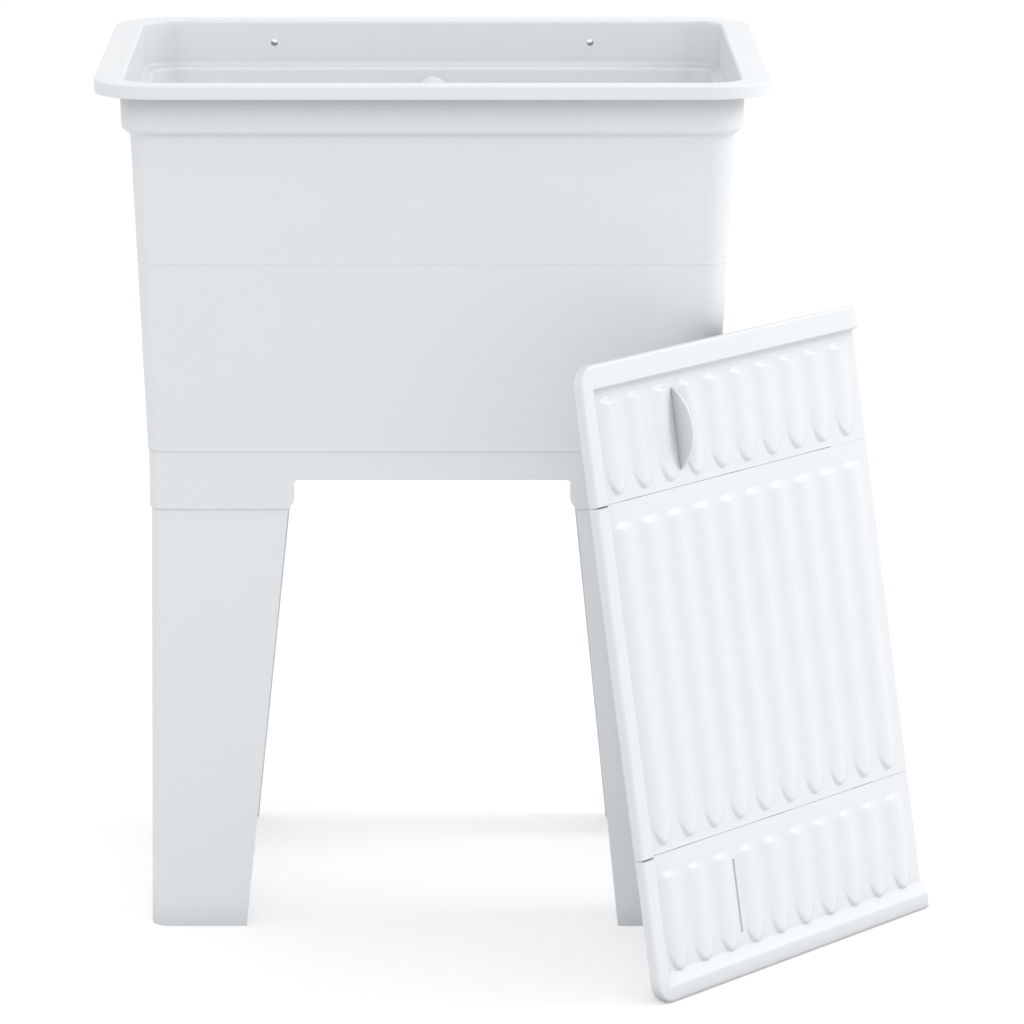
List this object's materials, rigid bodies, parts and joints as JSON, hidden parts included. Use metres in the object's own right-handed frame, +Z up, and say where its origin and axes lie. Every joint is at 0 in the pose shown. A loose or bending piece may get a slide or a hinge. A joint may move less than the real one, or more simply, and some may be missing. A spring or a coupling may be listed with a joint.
{
  "type": "utility laundry sink",
  "caption": "Free-standing plastic laundry sink on splayed corner legs, with a lift-out strainer, an overflow and a folding ribbed washboard leaning on its front corner.",
  "frame": {"origin": "middle of the bounding box's base, on the floor", "axes": "+Z up, the sink faces -Y, +X to its right as seen from the front"},
  "size_m": [0.8228, 0.7136, 0.845],
  "materials": {
    "tub_plastic": "satin moulded white plastic",
    "leg_plastic": "satin moulded white plastic",
    "board_plastic": "satin moulded white plastic",
    "pipe_plastic": "plain light grey plastic",
    "steel": "brushed stainless steel",
    "rubber": "matt black rubber"
  },
  "bodies": {
    "sink": {"tub": "tub_plastic", "leg_front_left": "leg_plastic", "leg_front_right": "leg_plastic", "leg_rear_left": "leg_plastic", "leg_rear_right": "leg_plastic", "leg_screw_front_left": "steel", "leg_screw_front_right": "steel", "leg_screw_rear_left": "steel", "leg_screw_rear_right": "steel", "drain_flange": "steel", "drain_bolt": "steel", "drain_gasket_upper": "rubber", "drain_gasket_lower": "rubber", "drain_body": "pipe_plastic", "outlet_nut": "pipe_plastic", "outlet_washer": "rubber", "overflow_rosette": "tub_plastic", "overflow_screw": "steel", "overflow_gasket": "rubber", "overflow_elbow": "pipe_plastic", "overflow_pipe": "pipe_plastic"},
    "board": {"washboard_middle": "board_plastic", "upper_hinge_pin": "steel", "lower_hinge_pin": "steel"},
    "board_top_flap": {"washboard_top_flap": "board_plastic"},
    "board_bottom_flap": {"washboard_bottom_flap": "board_plastic"},
    "tab": {"half_moon_tab": "board_plastic"},
    "basket": {"strainer_basket": "steel", "strainer_knob": "rubber", "strainer_seal": "rubber"}
  },
  "joints": [
    {"name": "board_lift", "type": "slide", "parent": "sink", "child": "board", "axis": [0.6536, -0.5682, 0.5], "range_m": [0, 0.6]},
    {"name": "top_flap_fold", "type": "hinge", "parent": "board", "child": "board_top_flap", "pos_m": [0.19944, -0.13391, 0.46838], "axis": [-0.6561, -0.7547, 0], "range_deg": [0, 165]},
    {"name": "bottom_flap_fold", "type": "hinge", "parent": "board", "child": "board_bottom_flap", "pos_m": [0.24352, -0.17222, 0.13648], "axis": [0.6561, 0.7547, 0], "range_deg": [0, 165]},
    {"name": "tab_slide", "type": "slide", "parent": "board_top_flap", "child": "tab", "axis": [0.7433, -0.6461, 0.1733], "range_m": [0, 0.03]},
    {"name": "basket_lift", "type": "slide", "parent": "sink", "child": "basket", "axis": [0, 0, 1], "range_m": [0, 0.4]}
  ],
  "couplings": [
    {"joint": "top_flap_fold", "follows": "board_lift", "rad_per_m": 4.79},
    {"joint": "bottom_flap_fold", "follows": "board_lift", "rad_per_m": 4.79}
  ]
}
